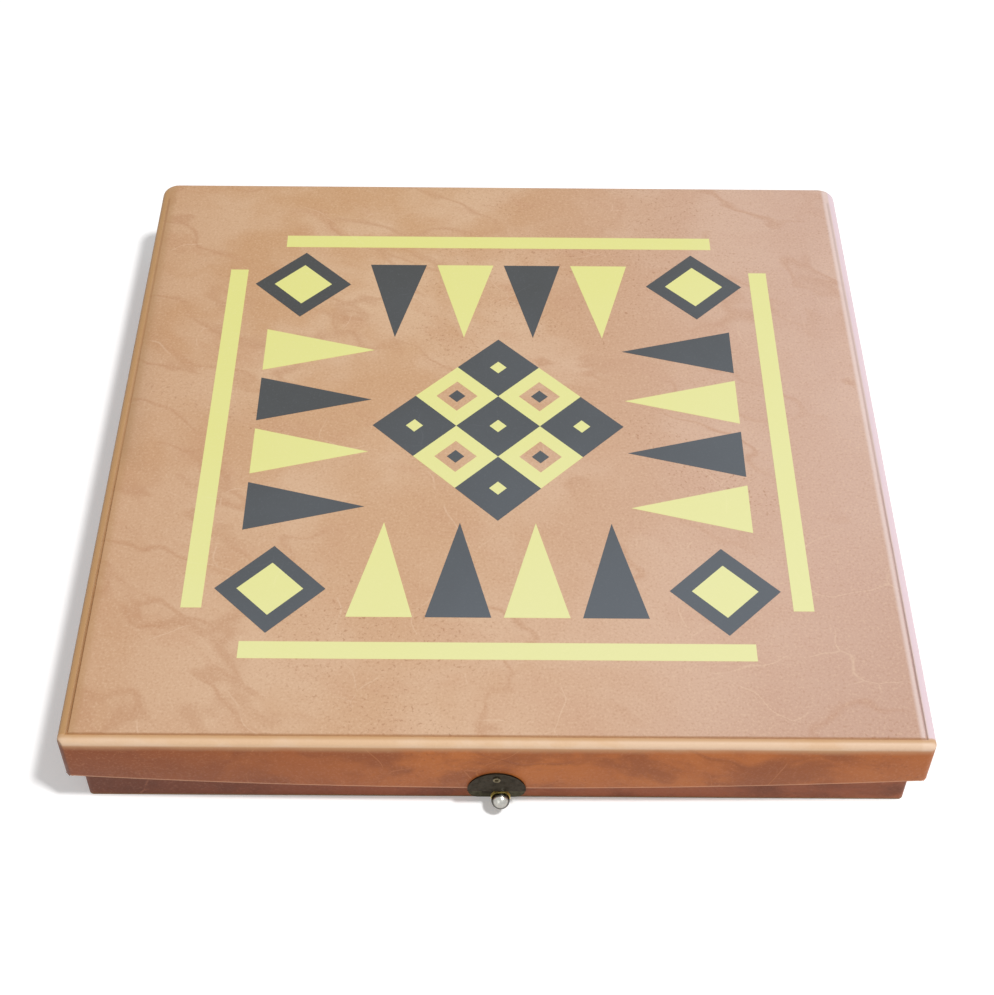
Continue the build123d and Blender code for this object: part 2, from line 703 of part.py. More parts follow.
# Hinge leaves, knuckles and pins
for name, hinge_x in (("left", hinge_xs[0]), ("right", hinge_xs[1])):
    knuckle_xs = [hinge_x + (i - (knuckle_count - 1) / 2) * knuckle_width for i in range(knuckle_count)]
    for leaf_name, own in (("base", 0), ("lid", 1)):
        leaf_low = hinge_z - base_leaf_length if own == 0 else hinge_z
        leaf_high = hinge_z if own == 0 else hinge_z + lid_leaf_length
        leaf_y = base_half if own == 0 else lid_inner_half - hinge_leaf
        bore = hinge_pin_radius + (pin_press_clearance if own == 0 else pin_running_clearance)
        rivet_z = base_screw_z if own == 0 else lid_rivet_z
        with BuildPart() as leaf:
            with Locations((hinge_x, leaf_y, leaf_low)):
                Box(hinge_width - knuckle_gap, hinge_leaf, leaf_high - leaf_low,
                    align=(Align.CENTER, Align.MIN, Align.MIN))
            for i, x in enumerate(knuckle_xs):
                if i % 2 != own:
                    with Locations((x, leaf_y, hinge_z)):
                        Box(knuckle_width + knuckle_gap, 4 * hinge_leaf,
                            2 * (barrel_radius + barrel_clearance), mode=Mode.SUBTRACT)
            for i, x in enumerate(knuckle_xs):
                if i % 2 == own:
                    with Locations(Location((x, hinge_y, hinge_z), (0, 90, 0))):
                        Cylinder(barrel_radius, knuckle_width - knuckle_gap)
            with Locations(Location((hinge_x, hinge_y, hinge_z), (0, 90, 0))):
                Cylinder(bore, 2 * hinge_width, mode=Mode.SUBTRACT)
            cut_across([(x, leaf_y, rivet_z) for x in fixing_xs if abs(x - hinge_x) < hinge_width / 2],
                       fixing_radius + fixing_clearance, 4 * hinge_leaf)
        save(leaf, f"{name}_hinge_{leaf_name}_leaf")
    with BuildPart() as pin:
        with Locations(Location((hinge_x, hinge_y, hinge_z), (0, 90, 0))):
            Cylinder(hinge_pin_radius, hinge_width + 2 * pin_head_thickness)
        for end in (-1, 1):
            with Locations(Location((hinge_x + end * (hinge_width + pin_head_thickness) / 2, hinge_y, hinge_z),
                                    (0, 90, 0))):
                Cylinder(pin_head_radius, pin_head_thickness)
    save(pin, f"{name}_hinge_pin")


def domed_head(x, y, z, radius, height):
    """Low round head standing out along Y from the face at y."""
    with BuildSketch(Plane((x, y, z)), mode=Mode.PRIVATE) as profile:
        with BuildLine():
            dome = ThreePointArc((-radius, 0), (0, height), (radius, 0))
            Line(dome @ 1, dome @ 0)
        make_face()
        split(bisect_by=Plane.YZ)
    revolve(profile.sketch, axis=Axis((x, y, z), (0, 1, 0)))


with BuildPart() as hinge_base_screws:
    for x, y, z in base_screw_holes:
        head_y = base_half + hinge_leaf
        domed_head(x, head_y, z, fixing_head_radius, fixing_head_height)
        with Locations(Location((x, head_y - screw_length / 2, z), (90, 0, 0))):
            Cylinder(fixing_radius, screw_length)
save(hinge_base_screws, "hinge_base_screws")

with BuildPart() as hinge_lid_rivets:
    for x, y, z in lid_rivet_holes:
        rivet_length = lid_half - lid_inner_half + hinge_leaf
        domed_head(x, lid_half, z, fixing_head_radius, fixing_head_height)
        with Locations(Location((x, lid_half - rivet_length / 2, z), (90, 0, 0))):
            Cylinder(fixing_radius, rivet_length)
save(hinge_lid_rivets, "hinge_lid_rivets")

# Catch hasp: half-round plate on the lid's front, folded under the lip into a hooked tongue
with BuildPart() as catch_hasp:
    with BuildSketch(Plane.XZ.offset(lid_half)):
        with Locations((0, catch_z)):
            Circle(catch_radius)
        with Locations((0, fold_bottom)):
            Rectangle(4 * catch_radius, 4 * catch_radius, align=(Align.CENTER, Align.MAX), mode=Mode.SUBTRACT)
    extrude(amount=catch_sheet)
    fold_half = sqrt(catch_radius ** 2 - catch_chord_rise ** 2) - catch_sheet
    with Locations((0, hasp_front, fold_bottom)):
        Box(2 * fold_half, tongue_back - hasp_front, catch_sheet, align=(Align.CENTER, Align.MIN, Align.MIN))
    with Locations((0, tongue_front, tongue_bottom)):
        Box(tongue_width, catch_sheet, fold_bottom + catch_sheet - tongue_bottom,
            align=(Align.MAX, Align.MIN, Align.MIN))
    with Locations((0, tongue_front, knob_z)):
        Box(2 * notch_depth, 4 * catch_sheet, notch_height, mode=Mode.SUBTRACT)
    cut_across(hasp_rivet_hole, catch_rivet_radius + fixing_clearance, 4 * catch_sheet)
save(catch_hasp, "catch_hasp")


def hollow_rivet(x, face_y, z, shank_end, head_radius, dimple):
    """Rivet along Y with a flat head on the face at face_y, a dimple in the head and a shank to shank_end."""
    with Locations(Location((x, (face_y + shank_end) / 2, z), (90, 0, 0))):
        Cylinder(catch_rivet_radius, shank_end - face_y)
    with Locations(Location((x, face_y - catch_rivet_head_height / 2, z), (90, 0, 0))):
        Cylinder(head_radius, catch_rivet_head_height)
    cut_across([(x, face_y - catch_rivet_head_height, z)], dimple, 2 * catch_rivet_head_height)


with BuildPart() as hasp_rivet:
    hollow_rivet(0, hasp_front, hasp_rivet_z, -lid_inner_half, hasp_rivet_head, hasp_rivet_dimple)
save(hasp_rivet, "catch_hasp_rivet")

# Catch plate: flat on the base's front, with the slot that the knob's neck runs in
with BuildPart() as catch_plate:
    with BuildSketch(Plane.XZ.offset(base_half)) as face:
        with Locations((0, plate_bottom_gap)):
            Rectangle(plate_width, plate_top - plate_bottom_gap, align=(Align.CENTER, Align.MIN))
        fillet(face.vertices().group_by(Axis.Y)[0], plate_bottom_corner)
        fillet(face.vertices().group_by(Axis.Y)[-1], plate_top_corner)
        with Locations((0, knob_z)):
            SlotOverall(slider_travel + 2 * (neck_radius + slot_clearance), 2 * (neck_radius + slot_clearance),
                        mode=Mode.SUBTRACT)
    extrude(amount=catch_sheet)
    cut_across(plate_rivet_holes, catch_rivet_radius + fixing_clearance, 4 * catch_sheet)
save(catch_plate, "catch_plate")

with BuildPart() as plate_rivets:
    for x, y, z in plate_rivet_holes:
        hollow_rivet(x, plate_front, z, -base_half + screw_length - 2 * catch_sheet, catch_rivet_head, catch_rivet_dimple)
save(plate_rivets, "catch_plate_rivets")

# Latch slider: behind the plate, it carries the knob, whose neck enters the tongue's notch
with BuildPart() as latch_slider:
    with Locations((knob_x, slider_front, knob_z)):
        Box(slider_width, slider_thickness, slider_height, align=(Align.CENTER, Align.MIN, Align.CENTER))
    cut_across([(knob_x, slider_front, knob_z)], neck_radius, 4 * slider_thickness)
save(latch_slider, "latch_slider")

with BuildPart() as latch_knob:
    with Locations((knob_x, ball_y, knob_z)):
        Sphere(ball_radius)
    with Locations(Location((knob_x, (ball_y + slider_back) / 2, knob_z), (90, 0, 0))):
        Cylinder(neck_radius, slider_back - ball_y)
save(latch_knob, "latch_knob")

# Latch cup: ring that holds the ball's back and narrows to the neck
with BuildPart() as latch_cup:
    cup_front = ball_y + cup_rim_offset
    cup_taper = cup_back - cup_front - cup_straight
    with Locations(Location((knob_x, cup_front + cup_straight / 2, knob_z), (90, 0, 0))):
        Cylinder(cup_radius, cup_straight)
    with Locations(Location((knob_x, cup_back - cup_taper / 2, knob_z), (90, 0, 0))):
        Cone(cup_back_radius, cup_radius, cup_taper)
    with Locations((knob_x, ball_y, knob_z)):
        Sphere(ball_radius + fixing_clearance, mode=Mode.SUBTRACT)
    cut_across([(knob_x, cup_back, knob_z)], neck_radius, 2 * lid_half)
save(latch_cup, "latch_cup")

# Printed design on the lid: thin ink films in two colours, lozenges and pointed bars in a plain border
ink = 0.1
print_half = 152.5
border_width = 10.0
corner_gap = 6.0
corner_lozenge = 24.0
lozenge_half = 22.0
lozenge_inset = 11.0
lozenge_core = 4.5
point_width = 32.0
point_pitch = 38.0
point_height = 60.0
points_per_side = 4
point_margin = 5.0
corner_diamond_half = 27.0


def lozenge(half):
    """Square stood on its corner."""
    Rectangle(half * sqrt(2), half * sqrt(2), rotation=45)


def printed_layer(name, draw):
    with BuildPart() as layer:
        with BuildSketch(Plane.XY.offset(case_height)):
            draw()
        extrude(amount=ink)
    save(layer, name)


point_base = print_half - border_width - point_margin
point_xs = [(i - (points_per_side - 1) / 2) * point_pitch for i in range(points_per_side)]
centre_grid = [(column, line) for column in (-1, 0, 1) for line in (-1, 0, 1)]


def side_points(parity):
    """Pointed bars along all four sides, alternating in colour."""
    for turn in range(4):
        with Locations(Rotation(0, 0, 90 * turn)):
            for i, x in enumerate(point_xs):
                if i % 2 == parity:
                    with Locations((x, 0)):
                        with Locations((0, -point_base + point_height / 2)):
                            Triangle(a=point_width, b=sqrt(point_width ** 2 / 4 + point_height ** 2),
                                     c=sqrt(point_width ** 2 / 4 + point_height ** 2))


def centre_lozenges(parity, half, mode=Mode.ADD):
    """Lozenges of the middle pattern, whose grid is turned by 45 degrees."""
    spots = [((column - line) * lozenge_half, (column + line) * lozenge_half)
             for column, line in centre_grid if (column + line) % 2 == parity]
    with Locations(*spots):
        Rectangle(half * sqrt(2), half * sqrt(2), rotation=45, mode=mode)


corner_at = print_half - corner_lozenge
corner_diamond_at = point_base - corner_diamond_half


def draw_yellow():
    with BuildSketch(mode=Mode.PRIVATE) as bar:
        Rectangle(2 * (corner_at - corner_gap), border_width)
    for turn in range(4):
        with Locations(Rotation(0, 0, 90 * turn)):
            with Locations((0, -print_half + border_width / 2)):
                add(bar.sketch)
    side_points(0)
    centre_lozenges(1, lozenge_half)
    centre_lozenges(1, lozenge_inset, Mode.SUBTRACT)
    centre_lozenges(0, lozenge_core)
    with GridLocations(2 * corner_diamond_at, 2 * corner_diamond_at, 2, 2):
        lozenge(corner_diamond_half * 0.6)


def draw_grey():
    side_points(1)
    centre_lozenges(0, lozenge_half)
    centre_lozenges(0, lozenge_core, Mode.SUBTRACT)
    centre_lozenges(1, lozenge_core)
    with GridLocations(2 * corner_diamond_at, 2 * corner_diamond_at, 2, 2):
        Rectangle(corner_diamond_half * sqrt(2), corner_diamond_half * sqrt(2), rotation=45)
        Rectangle(0.6 * corner_diamond_half * sqrt(2), 0.6 * corner_diamond_half * sqrt(2), rotation=45,
                  mode=Mode.SUBTRACT)


printed_layer("print_yellow", draw_yellow)
printed_layer("print_grey", draw_grey)
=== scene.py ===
from math import pi, radians, sqrt

import bmesh
import bpy
from mathutils import Matrix, Vector


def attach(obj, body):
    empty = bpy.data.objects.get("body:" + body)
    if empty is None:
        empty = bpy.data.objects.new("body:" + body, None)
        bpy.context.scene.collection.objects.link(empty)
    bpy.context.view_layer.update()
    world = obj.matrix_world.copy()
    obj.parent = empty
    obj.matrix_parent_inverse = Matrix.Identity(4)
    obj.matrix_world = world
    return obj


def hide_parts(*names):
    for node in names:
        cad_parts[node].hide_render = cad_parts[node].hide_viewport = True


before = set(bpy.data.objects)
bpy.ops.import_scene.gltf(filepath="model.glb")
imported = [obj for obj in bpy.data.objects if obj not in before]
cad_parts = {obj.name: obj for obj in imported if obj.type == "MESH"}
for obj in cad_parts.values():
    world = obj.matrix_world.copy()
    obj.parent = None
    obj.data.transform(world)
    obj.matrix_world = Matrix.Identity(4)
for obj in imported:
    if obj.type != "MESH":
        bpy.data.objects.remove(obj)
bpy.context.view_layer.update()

# Camera and studio. The case stands on a white laminate table. A lamp high in front on the right
# throws a soft shadow to the left, a weak one fills in on the left, and the surround is even and
# pale. The camera looks down at the front, about 48 degrees below level. Sizes are in metres.
camera_place = (-0.00412, -0.66140, 0.73851)
camera_pitch = radians(48.285)
camera_yaw = radians(0.343)
camera_roll = radians(0.650)
camera_lens = 65.55
sensor_width = 36

camera_data = bpy.data.cameras.new("camera")
camera_data.sensor_fit = "HORIZONTAL"
camera_data.sensor_width = sensor_width
camera_data.lens = camera_lens
camera = bpy.data.objects.new("camera", camera_data)
bpy.context.scene.collection.objects.link(camera)
camera.matrix_world = (
    Matrix.Translation(camera_place)
    @ Matrix.Rotation(-camera_yaw, 4, "Z")
    @ Matrix.Rotation(pi / 2 - camera_pitch, 4, "X")
    @ Matrix.Rotation(camera_roll, 4, "Z")
)
bpy.context.scene.camera = camera
bpy.context.scene.view_settings.view_transform = "Standard"

lamps = {
    # name: place, aimed at, side of the square, watts
    "key_lamp": ((1.40, -1.08, 3.60), (0, 0, 0), 0.4, 115),
    "fill_lamp": ((-0.90, -1.60, 0.90), (0, 0, 0.02), 1.2, 3),
}
for name, (place, target, side, watts) in lamps.items():
    lamp_data = bpy.data.lights.new(name, "AREA")
    lamp_data.size = side
    lamp_data.energy = watts
    lamp = bpy.data.objects.new(name, lamp_data)
    bpy.context.scene.collection.objects.link(lamp)
    lamp.location = place
    towards = [t - p for t, p in zip(target, place)]
    lamp.rotation_euler = Vector(towards).to_track_quat("-Z", "Y").to_euler()


def node(tree, kind, inputs=None, output=0, **settings):
    """Adds one node with its settings, sets or links its inputs, and returns one of its outputs."""
    made = tree.nodes.new(kind)
    for name, value in settings.items():
        setattr(made, name, value)
    for socket, value in (inputs or {}).items():
        if isinstance(value, bpy.types.NodeSocket):
            tree.links.new(value, made.inputs[socket])
        else:
            made.inputs[socket].default_value = value
    return made.outputs[output] if made.outputs else None


def seen(tree):
    """1 where a ray brings a surface to the eye, straight, mirrored or through glass, and else 0."""
    rays = node(tree, "ShaderNodeLightPath").node.outputs
    either = node(tree, "ShaderNodeMath", {0: rays["Is Camera Ray"], 1: rays["Is Glossy Ray"]},
                  operation="MAXIMUM")
    return node(tree, "ShaderNodeMath", {0: either, 1: rays["Is Transmission Ray"]}, operation="MAXIMUM")


# The surround looks white, also in metal, and lights the case at about a third of that.
white = (1, 1, 1, 1)
surround_light = 0.36
surround = bpy.data.worlds.new("pale_surround")
surround.use_nodes = True
bpy.context.scene.world = surround
tree = surround.node_tree
tree.nodes.clear()
level = node(tree, "ShaderNodeMapRange", {"Value": seen(tree), "To Min": surround_light, "To Max": 1.0})
sky = node(tree, "ShaderNodeBackground", {"Color": white, "Strength": level})
node(tree, "ShaderNodeOutputWorld", {"Surface": sky})


def linear(hex_colour):
    """Linear colour, with alpha, of an sRGB hex value."""
    parts = [int(hex_colour[i:i + 2], 16) / 255 for i in (1, 3, 5)]
    return [c / 12.92 if c <= 0.04045 else ((c + 0.055) / 1.055) ** 2.4 for c in parts] + [1.0]


def blank_material(name):
    """A new material without nodes, and its tree."""
    made = bpy.data.materials.new(name)
    made.use_nodes = True
    made.node_tree.nodes.clear()
    return made, made.node_tree


table_side = 8
table_level = -0.0002
bpy.ops.object.select_all(action="DESELECT")
bpy.ops.mesh.primitive_plane_add(size=table_side, location=(0, 0, table_level))
table = bpy.context.object
table.name = "table_top"
bpy.ops.object.transform_apply(location=True)

# White laminate: matt, and bright enough to the eye to go white, while it keeps the case's shadow.
table_glow = 0.235
laminate, tree = blank_material("white laminate")
lift = node(tree, "ShaderNodeMath", {0: seen(tree), 1: table_glow}, operation="MULTIPLY")
glow = node(tree, "ShaderNodeEmission", {"Color": white, "Strength": lift})
matt = node(tree, "ShaderNodeBsdfDiffuse", {"Color": linear("#F4F4F4")})
both = node(tree, "ShaderNodeAddShader", {0: glow, 1: matt})
node(tree, "ShaderNodeOutputMaterial", {"Surface": both})
table.data.materials.append(laminate)

# Lid cover. One sheet of leathercloth glued over the lid, turned in under the lip and 10 mm up the
# inside. The lip sags along the front. A line is pressed near the edge on the left, front and
# right, so that the edge stands as a bead.
lid_half = 0.200
lid_top = 0.053
lip_height = 0.0245
front_lip_height = 0.0162
lip_turn_half = 0.1954
lip_round = 0.0009
turn_in = 0.010
sheet_thickness = 0.0008
edge_round = 0.0029
front_corner = 0.0032
back_corner = 0.009
pressed_line = 0.1954
pressed_half_width = 0.0006
pressed_depth = 0.0009
pressed_line_end = 0.188
pressed_waver = 0.00022
wavers_from = 0.0002
wavers_to = 0.0012
lip_edges_from = 0.1967
station_pitch = 0.018
stations = [k * station_pitch for k in range(-10, 11)]
sharp_fold = radians(38)
across_x = (1, 0, 0)
across_y = (0, 1, 0)
near = 0.00005


def pick(piece, kind, test):
    """Selects only the vertices, edges or faces of the piece in edit mode whose middle passes the test."""
    bpy.context.tool_settings.mesh_select_mode = [kind == k for k in ("verts", "edges", "faces")]
    bpy.ops.mesh.select_all(action="DESELECT")
    shape = bmesh.from_edit_mesh(piece.data)
    for part in getattr(shape, kind):
        corners = [part] if kind == "verts" else list(part.verts)
        middle = sum((c.co for c in corners), corners[0].co * 0) / len(corners)
        part.select_set(bool(test(middle)))
    shape.select_flush_mode()
    bmesh.update_edit_mesh(piece.data)


def on_top(c):
    """Whether a point lies on the lid's flat top."""
    return c.z > lid_top - near


def to_be_pressed(c):
    """Whether a point of the top is pressed down: on the line, short of its ends at the back."""
    on_sides = abs(abs(c.x) - pressed_line) < near and -pressed_line - near < c.y < pressed_line_end - near
    in_front = abs(c.y + pressed_line) < near and abs(c.x) < pressed_line + near
    return on_top(c) and (on_sides or in_front)


def well_pressed(c):
    """Whether a point lies at the bottom of the pressed line, where that is deep enough to waver."""
    deep = lid_top - wavers_to < c.z < lid_top - wavers_from
    return deep and abs(max(abs(c.x), -c.y) - pressed_line) < near


def sag(x):
    """Height of the front lip at x: a shallow arc between the front corners."""
    drop = lip_height - front_lip_height
    radius = (lip_turn_half ** 2 + drop ** 2) / (2 * drop)
    return front_lip_height + radius - sqrt(radius ** 2 - min(abs(x), lip_turn_half) ** 2)


# A box without a floor, with round corners and edges.
bpy.ops.object.select_all(action="DESELECT")
bpy.ops.mesh.primitive_cube_add(size=1, location=(0, 0, (lid_top + lip_height) / 2))
lid_cover = bpy.context.object
lid_cover.name = "lid_leathercloth"
lid_cover.scale = (2 * lid_half, 2 * lid_half, lid_top - lip_height)
bpy.ops.object.transform_apply(location=True, scale=True)
bpy.ops.object.mode_set(mode="EDIT")
pick(lid_cover, "faces", lambda c: c.z < lip_height + near)
bpy.ops.mesh.delete(type="FACE")
pick(lid_cover, "edges", lambda c: abs(c.x) > lid_half - near and c.y < near - lid_half)
bpy.ops.mesh.bevel(offset=front_corner, segments=6, profile=0.5)
pick(lid_cover, "edges", lambda c: abs(c.x) > lid_half - near and c.y > lid_half - near)
bpy.ops.mesh.bevel(offset=back_corner, segments=8, profile=0.5)
pick(lid_cover, "edges", on_top)
bpy.ops.mesh.bevel(offset=edge_round, segments=6, profile=0.5)

# The line, pressed into the top.
for aside in (-pressed_half_width, 0, pressed_half_width):
    line = pressed_line + aside
    for point, direction in (((-line, 0, 0), across_x), ((line, 0, 0), across_x), ((0, -line, 0), across_y)):
        pick(lid_cover, "faces", on_top)
        bpy.ops.mesh.bisect(plane_co=point, plane_no=direction)
pick(lid_cover, "faces", on_top)
bpy.ops.mesh.bisect(plane_co=(0, pressed_line_end, 0), plane_no=across_y)
pick(lid_cover, "verts", to_be_pressed)
bpy.ops.transform.translate(value=(0, 0, -pressed_depth))

# Cuts all over, which let the front lip sag and the line waver.
for s in stations + [-lip_turn_half, lip_turn_half]:
    for direction in (across_x, across_y):
        bpy.ops.mesh.select_all(action="SELECT")
        bpy.ops.mesh.bisect(plane_co=(s, s, 0), plane_no=direction)
for s in stations:
    pick(lid_cover, "verts",
         lambda c: c.z < lip_height + near and c.y < near - lid_half and abs(c.x - s) < near)
    bpy.ops.transform.translate(value=(0, 0, sag(s) - lip_height))
pick(lid_cover, "verts", well_pressed)
bpy.ops.transform.vertex_random(offset=pressed_waver, seed=5)

# The turn under the lip and up the inside, and the sheet's thickness.
bpy.context.tool_settings.mesh_select_mode = (False, True, False)
bpy.ops.mesh.select_all(action="DESELECT")
bpy.ops.mesh.select_non_manifold(extend=False, use_wire=False, use_boundary=True,
                                 use_multi_face=False, use_non_contiguous=False, use_verts=False)
bpy.ops.mesh.extrude_region_move(TRANSFORM_OT_translate={"value": (0, 0, 0)})
bpy.ops.transform.resize(value=(lip_turn_half / lid_half, lip_turn_half / lid_half, 1),
                         center_override=(0, 0, 0))
bpy.ops.mesh.extrude_region_move(TRANSFORM_OT_translate={"value": (0, 0, turn_in)})
pick(lid_cover, "edges", lambda c: c.z < lip_height + near and max(abs(c.x), abs(c.y)) > lip_edges_from)
bpy.ops.mesh.bevel(offset=lip_round, segments=3, profile=0.5)
bpy.ops.mesh.select_all(action="SELECT")
bpy.ops.mesh.normals_make_consistent(inside=False)
bpy.ops.object.mode_set(mode="OBJECT")
bpy.ops.object.modifier_add(type="SOLIDIFY")
lid_cover.modifiers[-1].thickness = sheet_thickness
lid_cover.modifiers[-1].offset = -1
bpy.ops.object.modifier_apply(modifier=lid_cover.modifiers[-1].name)
bpy.ops.object.shade_smooth_by_angle(angle=sharp_fold)
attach(lid_cover, "lid")
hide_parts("lid_cover")

# Leathercloth: cotton coated with coloured nitrocellulose and embossed with a hide grain, so it's
# cloudy, nearly matt, and crossed by soft dark veins and thin pale creases. Sizes of patterns are in
# mm, here and below. Grain and flecks are about twice as coarse as real ones, so that they show.
metre = 1000
noise_middle = 0.5
drift_size = 110
drift_reach = 0.07
cloud_size = 75
streak_size = 24
streak_slant = radians(-28)
streak_length = 2.6
vein_size = 60
vein_width = 0.024
crease_size = 55
crease_width = 0.010
fleck_size = 1.9
grain_size = 1.2
grain_depth = 0.00012
# Painted shade: the coat darkens towards the left between these x.
left_shade_reach = (-0.20, -0.02)


def share(tree, *signs):
    """How much of a mark shows: the product of its signs.

    A sign is a value, two limits of it, and the shares at these, which pass gently into each other.
    A value that is itself a share has the limits 0 and 1, and is only scaled.
    """
    product = None
    for value, (start, end), (at_start, at_end) in signs:
        passage = "LINEAR" if (start, end) == (0, 1) else "SMOOTHSTEP"
        eased = node(tree, "ShaderNodeMapRange", {"Value": value, "From Min": start, "From Max": end,
                                                  "To Min": at_start, "To Max": at_end},
                     interpolation_type=passage)
        if product is None:
            product = eased
        else:
            product = node(tree, "ShaderNodeMath", {0: product, 1: eased}, operation="MULTIPLY")
    return product


def layered(tree, colour, layers, blend="MIX"):
    """Lays tones over a colour one by one. A layer is a tone and the signs that say where it shows."""
    for tone, *signs in layers:
        colour = node(tree, "ShaderNodeMix", {0: share(tree, *signs), 6: colour, 7: tone}, output=2,
                      data_type="RGBA", blend_type=blend)
    return colour


def hide_pattern(tree):
    """The coat's pattern: x, y and z, clouds, streaks, contour, grain, veins, pale creases, dark flecks."""
    place = node(tree, "ShaderNodeTexCoord", output="Object")
    drift = node(tree, "ShaderNodeTexNoise", {"Vector": place, "Scale": metre / drift_size, "Detail": 3.0,
                                              "Roughness": 0.55}, output="Color")
    shift = node(tree, "ShaderNodeVectorMath", {0: drift, "Scale": drift_reach}, operation="SCALE")
    bent = node(tree, "ShaderNodeVectorMath", {0: place, 1: shift}, operation="ADD")
    slanted = node(tree, "ShaderNodeMapping", {"Vector": bent, "Rotation": (0, 0, streak_slant),
                                               "Scale": (streak_length, 1.0, 1.0)}, vector_type="TEXTURE")
    blotches = {
        # name: where it is read, size in mm, detail, roughness
        "clouds": (bent, cloud_size, 4.0, 0.55),
        "streaks": (slanted, streak_size, 5.0, 0.6),
        "contour": (slanted, vein_size, 3.0, 0.5),
        "specks": (place, fleck_size, 2.0, 0.55),
        "grain": (place, grain_size, 3.0, 0.6),
    }
    hide = {name: node(tree, "ShaderNodeTexNoise", {"Vector": where, "Scale": metre / size, "Detail": detail,
                                                    "Roughness": rough})
            for name, (where, size, detail, rough) in blotches.items()}
    hide["x"], hide["y"], hide["z"] = node(tree, "ShaderNodeSeparateXYZ", {0: place}).node.outputs
    # Veins run along one contour of a blotchy field, and fade out where the clouds are dark.
    from_contour = node(tree, "ShaderNodeMath", {0: hide["contour"], 1: noise_middle}, operation="SUBTRACT")
    from_contour = node(tree, "ShaderNodeMath", {0: from_contour}, operation="ABSOLUTE")
    hide["veins"] = share(tree, (from_contour, (0.0, vein_width), (1, 0)),
                          (hide["clouds"], (0.36, 0.60), (0, 1)))
    # Creases run along the borders of large cells, where the streaks allow, and flecks lie in swarms.
    border = node(tree, "ShaderNodeTexVoronoi", {"Vector": bent, "Scale": metre / crease_size},
                  output="Distance", feature="DISTANCE_TO_EDGE")
    hide["creases"] = share(tree, (border, (0.0, crease_width), (1, 0)),
                            (hide["streaks"], (0.52, 0.60), (0, 1)))
    hide["flecks"] = share(tree, (hide["specks"], (0.60, 0.68), (0, 1)),
                           (hide["contour"], (0.52, 0.62), (0, 1)))
    return hide


def coat_with_left_shade(tree, hide, first, second, dark, pale):
    """Two cloudy tones with darker streaks and veins, painted shade towards the left, and pale creases and
    grain.
    """
    return layered(tree, linear(first), [
        (linear(second), (hide["clouds"], (0.40, 0.62), (0, 1))),
        (linear(dark), (hide["streaks"], (0.44, 0.64), (0, 0.6))),
        # Painted shade: darker towards the left.
        (linear(dark), (hide["x"], left_shade_reach, (0.85, 0.1))),
        (linear(dark), (hide["veins"], (0, 1), (0, 0.35))),
        (linear(pale), (hide["creases"], (0, 1), (0, 0.40))),
        (linear(dark), (hide["flecks"], (0, 1), (0, 0.30))),
        (linear(pale), (hide["grain"], (0.54, 0.70), (0, 0.22))),
    ])


def embossed(tree, hide, coat):
    """Gives the coat its grain, with the veins sunk in, and its dull shine, best on the raised grain."""
    relief = node(tree, "ShaderNodeMath", {0: hide["grain"], 1: hide["veins"]}, operation="SUBTRACT")
    bump = node(tree, "ShaderNodeBump", {"Height": relief, "Strength": 0.35, "Distance": grain_depth})
    rough = node(tree, "ShaderNodeMapRange", {"Value": hide["grain"], "From Min": 0.3, "From Max": 0.7,
                                              "To Min": 0.54, "To Max": 0.42},
                 interpolation_type="SMOOTHSTEP")
    skin = node(tree, "ShaderNodeBsdfPrincipled", {"Base Color": coat, "Roughness": rough, "IOR": 1.4,
                                                   "Specular IOR Level": 0.3, "Normal": bump})
    node(tree, "ShaderNodeOutputMaterial", {"Surface": skin})


tan_cloth, tree = blank_material("tan leathercloth")
hide = hide_pattern(tree)
coat = coat_with_left_shade(tree, hide, "#AE612C", "#BA6B30", "#7F4120", "#C5804E")

# A pale line is painted along the lip's edge, which sags in front: a painted highlight where the lip's
# rounded edge catches the light.
lip_highlight = (0.0008, 0.0019)
across = node(tree, "ShaderNodeMath", {0: hide["x"], 1: lip_turn_half}, operation="DIVIDE")
arc = node(tree, "ShaderNodeMath", {0: across, 1: across}, operation="MULTIPLY")
over_lip = node(tree, "ShaderNodeMath", {0: arc, 1: front_lip_height - lip_height, 2: hide["z"]},
                operation="MULTIPLY_ADD")
over_lip = node(tree, "ShaderNodeMath", {0: over_lip, 1: front_lip_height}, operation="SUBTRACT")
coat = layered(tree, coat, [(linear("#D29A74"), (over_lip, lip_highlight, (0.6, 0)))])

# The top is painted tan, paler than the cloth, a painted light and sheen where the top faces the lamps:
# clearer in front, pinker on the right with a painted sheen, browner on the left with painted shade, and
# darker towards the front right corner with painted shade.
front_part = (0.20, -0.16)
right_sheen_part = (-0.06, 0.24)
left_shade_part = (-0.11, -0.22)
corner_shade_part = (0.22, 0.38)
to_corner = node(tree, "ShaderNodeMath", {0: hide["x"], 1: hide["y"]}, operation="SUBTRACT")
tan = layered(tree, linear("#C79C74"), [
    (linear("#D3AF8D"), (hide["clouds"], (0.38, 0.62), (0, 1))),
    (linear("#C08F6A"), (hide["streaks"], (0.50, 0.72), (0, 0.5))),
    (linear("#D1AE93"), (hide["y"], front_part, (0, 0.45))),
    (linear("#CDAEA3"), (hide["x"], right_sheen_part, (0, 0.75))),
    (linear("#BC8C66"), (hide["x"], left_shade_part, (0, 0.45))),
    (linear("#B38A74"), (to_corner, corner_shade_part, (0, 0.4))),
    (linear("#A9714B"), (hide["veins"], (0, 1), (0, 0.30))),
    (linear("#EACFB2"), (hide["creases"], (0, 1), (0, 0.28))),
    (linear("#96603F"), (hide["flecks"], (0, 1), (0, 0.40))),
    (linear("#E6C8A8"), (hide["grain"], (0.52, 0.68), (0, 0.26))),
    (linear("#A06C4A"), (hide["grain"], (0.46, 0.32), (0, 0.22))),
])
